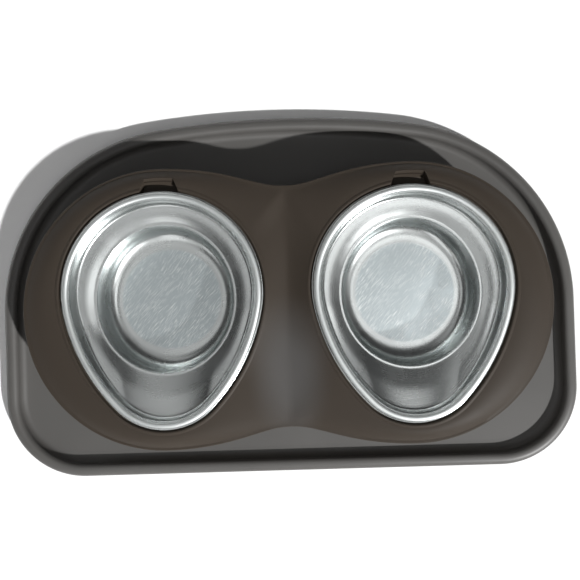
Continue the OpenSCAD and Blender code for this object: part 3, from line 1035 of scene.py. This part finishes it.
@dataclass
class Stand:
    """The raised shell, which has a domed top that dips to a valley between its lobes and a flared wall.

    Each hole has a sunk seat and a thin collar round it, and a finger notch behind it. The right half is
    drawn and then mirrored.
    """

    egg: EggOutline = field(default_factory=EggOutline)
    plan: PeanutOutline = field(default_factory=PeanutOutline)
    centre_y: float = -8 * MM
    waist_deg: float = 55.0
    edge_z: float = 42 * MM
    edge_round: float = 1.8 * MM
    foot_z: float = 4.5 * MM
    flare: float = 1 * MM
    thickness: float = 2.5 * MM
    seat_z: float = 46.3 * MM
    seat_in: float = 2.6 * MM
    seat_out: float = 0.7 * MM
    crest_z: float = 48.5 * MM
    collar_out: float = 3.3 * MM
    collar_z: float = 47.9 * MM
    dome_power: float = 2.2
    valley_drop: float = 4.2 * MM
    flank_power: float = 1.5
    notch_width: float = 26 * MM
    notch_z: float = 41 * MM
    notch_floor: float = 5 * MM
    notch_back: float = 8.5 * MM
    notch_side: float = 1.3 * MM
    notch_draw: float = 0.66
    notch_draw_reach: float = 1.8
    dome_rows: int = 12
    dome_spacing: float = 1.25
    under_first: float = 0.32
    under_step: float = 0.14
    under_count: int = 5
    inner_edge_drop: float = 0.8 * MM
    side_steps: int = 5
    notch_steps: int = 4
    waist_steps: int = 26
    lobe_steps: int = 70
    middle_steps: int = 40

    def notch_deg(self) -> float:
        """Return half the notch's width as an angle at the hole's back."""
        return math.degrees(math.asin(self.notch_width / 2 / (self.egg.width / 2)))

    def notch_side_deg(self) -> float:
        """Return the width of the notch's side as such an angle."""
        return math.degrees(self.notch_side / (self.egg.width / 2))

    def stations(self) -> list[float]:
        """Return the normal angle of each station of the right half, from the middle line behind round the
        lobe and back along the middle line in front."""
        notch = self.notch_deg()
        steep = [notch - self.notch_side_deg() * k / self.side_steps for k in range(self.side_steps + 1)]
        inside = [steep[-1] * k / self.notch_steps for k in range(self.notch_steps)]
        half_notch = sorted(steep + inside[1:])
        near = [-b for b in reversed(half_notch)] + [0.0] + half_notch
        waist = self.waist_deg
        before = [-waist + (waist - notch) * k / self.waist_steps for k in range(self.waist_steps)]
        lobe = [notch + (180 - notch) * k / self.lobe_steps for k in range(1, self.lobe_steps + 1)]
        front = [180 + waist * k / self.waist_steps for k in range(1, self.waist_steps + 1)]
        middle = [180 + waist + (180 - 2 * waist) * k / self.middle_steps
                  for k in range(1, self.middle_steps)]
        return before + near + lobe + front + middle

    def middle_y(self, b_deg: float, y: float) -> float:
        """Return where a station of the middle line meets it, from -y in front to y behind."""
        behind = self.egg.point(-self.waist_deg).y
        before = self.egg.point(180 + self.waist_deg).y
        return -y + 2 * y * (self.egg.point(b_deg).y - before) / (behind - before)

    def outer(self, b_deg: float, out: float) -> Vector:
        """Return the outer outline's point of a station, moved out by out."""
        lobe_x = self.plan.lobe_x
        if b_deg < 0:
            return self.plan.waist(-b_deg / self.waist_deg * lobe_x, out)
        if b_deg <= 180:
            return toward(b_deg) * (self.plan.lobe_radius + out)
        if b_deg <= 180 + self.waist_deg:
            behind = self.plan.waist((b_deg - 180) / self.waist_deg * lobe_x, out)
            return Vector((behind.x, -behind.y, 0))
        return Vector((-lobe_x, self.middle_y(b_deg, self.plan.neck_y + out), 0))

    def valley_share(self, b_deg: float) -> float:
        """Return how much a station belongs to the valley, from 0 on the lobe to 1 at its middle."""
        waist = self.waist_deg
        if b_deg < 0:
            return (b_deg / waist) ** 2 / 2
        if b_deg <= 180:
            return 0.0
        if b_deg <= 180 + waist:
            return ((b_deg - 180) / waist) ** 2 / 2
        inward = math.sin(math.pi * (b_deg - 180 - waist) / (180 - 2 * waist))
        return 0.5 + 0.5 * smooth_step(2 * inward)

    def top_z(self, b_deg: float, t: float) -> float:
        """Return the height of the domed top at share t of the way from the collar to the outer edge."""
        full = self.collar_z - self.edge_z
        drop = full
        if b_deg > 180 + self.waist_deg:
            drop = self.valley_drop + (full - self.valley_drop) * abs(self.middle_y(b_deg, 1.0)) ** 3
        share = self.valley_share(b_deg)
        flank = 1 - (1 - t) ** self.flank_power
        fall = (1 - share) * t ** self.dome_power + share * flank
        return self.collar_z - drop * fall

    def dome(self, b_deg: float, t: float) -> Vector:
        """Return the point of the domed top at share t of a station."""
        hole = self.egg.point(b_deg, self.collar_out)
        plan = hole.lerp(self.outer(b_deg, -self.edge_round), t)
        return at_height(plan, self.top_z(b_deg, t))

    def notch_share(self, b_deg: float, grown: float = 0.0) -> float:
        """Return 1 inside the finger notch, 0 outside it, and a smooth rise over its side.

        Args:
            b_deg: The station's angle.
            grown: How much wider the notch is on each side than on top.

        Returns:
            The share.
        """
        edge = self.notch_deg() + math.degrees(grown / (self.egg.width / 2))
        return 1 - smooth_step((abs(b_deg) - edge) / self.notch_side_deg() + 1)

    def drawn_in(self, b_deg: float, share: float) -> float:
        """Return a station's angle drawn in towards the middle of the notch, less so further from it."""
        edge = self.notch_deg()
        near = 1 - smooth_step((abs(b_deg) - edge) / (self.notch_draw_reach * edge))
        return b_deg * (1 - (1 - share) * near)

    def narrowing(self, out: float) -> float:
        """Return the notch's width at a distance out from the hole, as a share of its width there."""
        drawn = 1 - self.notch_draw
        if out < self.notch_back:
            return 1 - drawn * max(out, 0.0) / self.notch_back
        return self.notch_draw + drawn * smooth_step((out - self.notch_back) / self.notch_back)

    def hole_ring(self, out: float, z: float, notch_out: float, notch_z: float) -> Ring:
        """Return a ring round the hole, which takes another place inside the notch.

        Args:
            out: Distance out from the egg outline.
            z: Height.
            notch_out: Distance out inside the notch.
            notch_z: Height inside the notch.

        Returns:
            The ring.
        """
        ring = []
        for b in self.stations():
            plain, sunk = (
                at_height(self.egg.point(self.drawn_in(b, self.narrowing(far)), far), height)
                for far, height in ((out, z), (notch_out, notch_z)))
            ring.append(plain.lerp(sunk, self.notch_share(b)))
        return ring

    def hole_edge(self) -> Ring:
        """Return the inner edge of the seat, where the top and the underside meet."""
        return self.hole_ring(-self.seat_in, self.seat_z, -self.seat_in, self.notch_z)

    def dome_ring(self, t: float) -> Ring:
        """Return a ring of the domed top; behind the notch it starts further out."""
        room = (self.plan.lobe_radius - self.edge_round - self.egg.back_y - self.egg.width / 2
                - self.collar_out)
        notch_t = (self.notch_back - self.collar_out) / room
        ring = []
        for b in self.stations():
            reach = t + self.notch_share(b) * notch_t * (1 - t)
            draw = self.narrowing(self.collar_out + reach * room)
            ring.append(self.dome(self.drawn_in(b, draw), reach))
        return ring

    def rim_ring(self, out: float, z: float) -> Ring:
        """Return a ring along the outer outline."""
        return [at_height(self.outer(b, out), z) for b in self.stations()]

    def top_rows(self) -> list[Ring]:
        """Return the rings from the hole over the seat, collar and dome to the outer edge."""
        floor = self.notch_z
        back = self.notch_floor
        shares = [(k / self.dome_rows) ** self.dome_spacing for k in range(1, self.dome_rows + 1)]
        return rounded_rows([
            Corner(self.hole_edge()),
            Corner(self.hole_ring(self.seat_out, self.seat_z, self.seat_out, floor), 0.35 * MM, 3),
            Corner(self.hole_ring(0.95 * MM, self.crest_z, 0.3 * back, floor), 0.5 * MM, 4),
            Corner(self.hole_ring(2.2 * MM, self.crest_z, 0.65 * back, floor), 0.7 * MM, 4),
            Corner(self.hole_ring(self.collar_out, self.collar_z, back, floor + 0.2 * MM), 0.8 * MM),
            Corner(self.dome_ring(0.0), 0.4 * MM, 3),
            *[Corner(self.dome_ring(share)) for share in shares],
        ])

    def wall_rows(self) -> list[Ring]:
        """Return the rings of the outer edge's round and the wall below it."""
        return rounded_rows([
            Corner(self.rim_ring(-self.edge_round, self.edge_z)),
            Corner(self.rim_ring(0, self.edge_z), self.edge_round, 7, 4),
            Corner(self.rim_ring(self.flare, self.foot_z)),
        ])[1:]

    def under_rows(self) -> list[Ring]:
        """Return the rings of the underside, from the hole's edge, which both sheets share, to the wall."""
        thick = self.thickness
        grown = thick - self.notch_side
        seat, collar, edge = [], [], []
        domes: list[Ring] = [[] for _ in range(self.under_count)]
        for b in self.stations():
            share = self.notch_share(b, grown)
            sunk = self.notch_z - thick
            plain = at_height(self.egg.point(b, -self.seat_in), self.seat_z - thick)
            seat.append(plain.lerp(at_height(plain, sunk), share))
            plain = at_height(self.egg.point(b, self.collar_out), self.collar_z - thick)
            low = at_height(self.egg.point(b, self.notch_floor + 1 * MM), sunk)
            collar.append(plain.lerp(low, share))
            for k, ring in enumerate(domes):
                ring.append(self.dome(b, self.under_first + self.under_step * k) - Vector((0, 0, thick)))
            if b > 180 + self.waist_deg:
                edge.append(self.dome(b, 1.0) - Vector((0, 0, thick)))
            else:
                edge.append(at_height(self.outer(b, -thick), self.edge_z - thick - self.inner_edge_drop))
        return [self.hole_edge(), seat, collar, *domes, edge]

    def half_sheet(self, name: str, rows: list[Ring], wall: list[Ring]) -> Piece:
        """Draw one sheet of the right half, and mirror it.

        Args:
            name: The sheet's name.
            rows: Its rings from the hole to the outer edge.
            wall: Its rings down the wall, which the middle line has no part in.

        Returns:
            The sheet of both halves.
        """
        lobe = Vector((self.plan.lobe_x, self.centre_y, 0))
        rows, wall = ([[p + lobe for p in ring] for ring in part] for part in (rows, wall))
        sheet = RingShell(name, rows[0])
        sheet.draw_rows(rows[1:])
        sheet.let_go(lambda edge: all(abs(v.co.x) < WELD for v in edge.verts))
        sheet.draw_rows(wall)
        obj = sheet.done()
        apply_modifier(obj, "MIRROR", use_clip=True, merge_threshold=MIRROR_WELD)
        return obj

    def build(self) -> Piece:
        """Build the stand from a sheet for its top and wall and one for its underside, welded together."""
        obj = self.half_sheet("bowl_stand", self.top_rows(), self.wall_rows())
        inner_foot = self.rim_ring(self.flare - self.thickness, self.foot_z)
        outer_foot = self.rim_ring(self.flare, self.foot_z)
        inside = self.half_sheet("stand_underside", self.under_rows(), [inner_foot, outer_foot])
        join_sheets(obj, inside)
        smooth(obj, angle_deg=40)
        return obj


@dataclass
class RubberFoot:
    """A rubber pad with a rounded lower edge and a ring groove in its sole."""

    radius: float = 9.7 * MM
    edge_round: float = 0.8 * MM
    groove_outer: float = 6.8 * MM
    groove_half: float = 0.8 * MM

    def build(self, name: str, place: Vector, height: float) -> Piece:
        """Build one foot.

        Args:
            name: Its name.
            place: Its centre in plan.
            height: Its full height above the ground.

        Returns:
            The foot.
        """
        foot = cylinder(name, 64, self.radius, place, 0.0, height)
        with editing(foot):
            pick(foot, "EDGE", lambda e: all(v.co.z < WELD for v in e.verts))
            bpy.ops.mesh.bevel(offset=self.edge_round, segments=5, affect="EDGES")
            pick(foot, "FACE", lambda f: f.normal.z < -0.99)
            bpy.ops.mesh.inset(thickness=self.radius - self.edge_round - self.groove_outer)
            bpy.ops.mesh.inset(thickness=self.groove_half)
            bpy.ops.transform.translate(value=(0, 0, self.groove_half))
            bpy.ops.mesh.inset(thickness=self.groove_half)
            bpy.ops.transform.translate(value=(0, 0, -self.groove_half))
        smooth(foot, angle_deg=30)
        return foot


# Studio

def add_to_scene(name: str, data: bpy.types.ID) -> Piece:
    """Return a new object with the data of a lamp or a camera, linked to the scene."""
    obj = bpy.data.objects.new(name, data)
    bpy.context.scene.collection.objects.link(obj)
    return obj


def shine_from(lamp: Piece, way: Vector) -> None:
    """Turn a lamp so that it shines from a direction back at the origin."""
    lamp.rotation_euler = (-way).to_track_quat("-Z", "Y").to_euler()


@dataclass(frozen=True)
class PhotoCamera:
    """The camera of the photograph: almost straight above, slightly turned."""

    place: Vector = Vector((4.9, -2.0, 491)) * MM
    turn_deg: tuple[float, float, float] = (0.537, 0.433, -1.75)
    lens_mm: float = 42.56
    sensor_mm: float = 36.0

    def make(self) -> None:
        """Add the camera and make it the scene's."""
        data = bpy.data.cameras.new("photo_camera")
        data.lens = self.lens_mm
        data.sensor_width = self.sensor_mm
        data.clip_start = 0.01
        data.clip_end = 20.0
        camera = add_to_scene("photo_camera", data)
        x, y, z = (math.radians(a) for a in self.turn_deg)
        turned = Euler((x, 0, 0)).to_matrix() @ Euler((0, y, 0)).to_matrix()
        camera.matrix_world = (Euler((0, 0, z)).to_matrix() @ turned).to_4x4()
        camera.location = self.place
        bpy.context.scene.camera = camera


@dataclass(frozen=True)
class SoftBox:
    """A round studio lamp on a dome over the object, which looks at the middle of the floor.

    Attributes:
        name: Its name.
        tilt_deg: Its angle from straight above.
        turn_deg: Its direction in plan, anticlockwise from +X.
        radiance: How bright its face is.
        distance: Radius of the dome.
        size: Its diameter.
    """

    name: str
    tilt_deg: float
    turn_deg: float
    radiance: float
    distance: float = 1.2
    size: float = 0.42

    def make(self) -> None:
        """Add the lamp."""
        data = bpy.data.lights.new(self.name, "AREA")
        data.shape = "DISK"
        data.size = self.size
        data.energy = self.radiance * math.pi * math.pi * self.size ** 2 / 4
        lamp = add_to_scene(self.name, data)
        tilt = math.radians(self.tilt_deg)
        way = toward(90 - self.turn_deg) * math.sin(tilt) + Vector((0, 0, math.cos(tilt)))
        lamp.location = way * self.distance
        shine_from(lamp, way)


@dataclass(frozen=True)
class Studio:
    """A pale floor and backdrop wall, a key lamp at the front right, and round lamps in a dim room."""

    floor_colour: Colour = (0.9, 0.9, 0.9)
    floor_half: float = 3.2
    wall_radius: float = 3.0
    wall_height: float = 0.8
    key_toward: Vector = Vector((0.85, -0.9, 1.0))
    key_strength: float = 4.8
    key_spread_deg: float = 1.8
    around: float = 0.05
    boxes: tuple[SoftBox, ...] = (
        SoftBox("low_front_box", 54, 252, 1.5),
        SoftBox("low_left_box", 54, 216, 0.9),
        SoftBox("front_left_box", 36, 240, 1.4),
        SoftBox("front_box", 36, 280, 0.6),
        SoftBox("back_left_box", 36, 120, 0.4),
        SoftBox("top_right_box", 15, 350, 1.7),
        SoftBox("top_left_box", 18, 180, 0.7),
        SoftBox("top_front_left_box", 18, 240, 0.5),
        SoftBox("top_front_right_box", 18, 300, 0.4),
        SoftBox("top_back_box", 18, 120, 0.4),
    )

    def lay_stage(self) -> None:
        """Add the floor and the wall round it, both of one pale paper."""
        s = Shader("floor_paper")
        s.set(s.surface, Base_Color=(*self.floor_colour, 1.0), Roughness=0.9)
        deselect_all()
        bpy.ops.mesh.primitive_plane_add(size=2 * self.floor_half, location=(0, 0, 0))
        floor = named_primitive("studio_floor")
        deselect_all()
        bpy.ops.mesh.primitive_cylinder_add(
            vertices=96, radius=self.wall_radius, depth=self.wall_height, end_fill_type="NOTHING",
            location=(0, 0, self.wall_height / 2))
        wall = named_primitive("studio_backdrop")
        smooth(wall)
        wall.visible_shadow = False
        for part in (floor, wall):
            part.data.materials.append(s.material)

    def make(self) -> None:
        """Add the stage, the lamps and the world."""
        self.lay_stage()
        data = bpy.data.lights.new("key_lamp", "SUN")
        data.energy = self.key_strength
        data.angle = math.radians(self.key_spread_deg)
        shine_from(add_to_scene("key_lamp", data), self.key_toward)
        world = bpy.data.worlds.new("grey_room")
        bpy.context.scene.world = world
        world.use_nodes = True
        light = world.node_tree.nodes["Background"].inputs
        light["Color"].default_value = (1, 1, 1, 1)
        light["Strength"].default_value = self.around
        for box in self.boxes:
            box.make()
        bpy.context.scene.view_settings.view_transform = "Standard"


# Assembly

@dataclass
class DoublePetBowl:
    """The whole object: every piece, its finish and the body that it rides on."""

    stand: Stand = field(default_factory=Stand)
    tray: SpillTray = field(default_factory=SpillTray)
    bowl: SteelBowl = field(default_factory=SteelBowl)
    foot: RubberFoot = field(default_factory=RubberFoot)
    peg_gap: float = 0.8 * MM
    foot_gap: float = 0.3 * MM

    def lobe(self) -> Vector:
        """Return the right lobe's centre in plan."""
        return Vector((self.stand.plan.lobe_x, self.stand.centre_y, 0))

    def peg_places(self) -> list[Vector]:
        """Return where the six locating pegs stand, inside the stand's outer wall."""
        inner_wall = self.stand.plan.lobe_radius - self.stand.thickness
        reach = inner_wall - self.peg_gap - self.tray.peg_radius
        lobe = self.lobe()
        return [
            Vector((side.value * (lobe.x + reach * math.cos(a)), lobe.y + reach * math.sin(a), 0))
            for side in Side for a in (-math.pi / 3, 0.0, math.pi / 3)
        ]

    def put(self, piece: Piece, body: str, node: str, material: bpy.types.Material) -> None:
        """Dress a piece, and let it stand for a CAD node on that node's body.

        Args:
            piece: The finished piece.
            body: The body that it rides on.
            node: The node that it replaces.
            material: Its finish.
        """
        piece.data.materials.clear()
        piece.data.materials.append(material)
        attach(piece, body)
        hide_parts(node)
        log.info("%s: %d faces, on %s, for %s", piece.name, len(piece.data.polygons), body, node)

    def build(self) -> None:
        """Build and dress every piece."""
        names = ("front_left", "front_right", "back_left", "back_right")
        feet = {name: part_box(f"foot_{name}") for name in names}
        middles = {name: (low + high) / 2 for name, (low, high) in feet.items()}
        tray_plastic = MouldedPlastic("tray_plastic", (0.078, 0.075, 0.071), 0.5,
                                      lip_z=self.tray.high.z).make()
        # The stand's finish carries a painted highlight: a grey sheen painted onto the upward faces at the
        # waist's front, 50 mm in front of the middle.
        stand_plastic = MouldedPlastic("stand_plastic", (0.039, 0.031, 0.024), 0.56, specular=0.14,
                                       lip_z=self.stand.crest_z, bloom_and_painted_sheen=0.6,
                                       painted_sheen_at=Vector((0, -50, 0)) * MM).make()
        rubber = FootRubber().make()
        recess_radius = self.foot.radius + self.foot_gap
        tray = self.tray.build(self.peg_places(), list(middles.values()), recess_radius)
        self.put(tray, "tray_base", "tray", tray_plastic)
        self.put(self.stand.build(), "stand", "stand", stand_plastic)
        lobe = self.lobe()
        left = self.bowl.build("steel_bowl_left", Vector((-lobe.x, lobe.y, 0)))
        right = copied(left, "steel_bowl_right", Vector((2 * lobe.x, 0, 0)))
        for side, bowl in ((Side.LEFT, left), (Side.RIGHT, right)):
            word = side.name.lower()
            centre = Vector((side.value * lobe.x, lobe.y + self.bowl.well_y, 0))
            steel = PressedSteel(f"steel_{word}", centre, self.bowl.flat_radius).make()
            self.put(bowl, f"bowl_{word}", f"bowl_{word}", steel)
        first, *others = middles
        foot = self.foot.build(f"rubber_foot_{first}", middles[first], feet[first][1].z)
        pads = {first: foot}
        for name in others:
            pads[name] = copied(foot, f"rubber_foot_{name}", middles[name] - middles[first])
        for name, pad in pads.items():
            self.put(pad, "tray_base", f"foot_{name}", rubber)


def main() -> None:
    """Build the camera, the studio and the object."""
    logging.basicConfig(level=logging.INFO, format="%(name)s: %(message)s")
    PhotoCamera().make()
    Studio().make()
    DoublePetBowl().build()


if __name__ == "__main__":
    main()
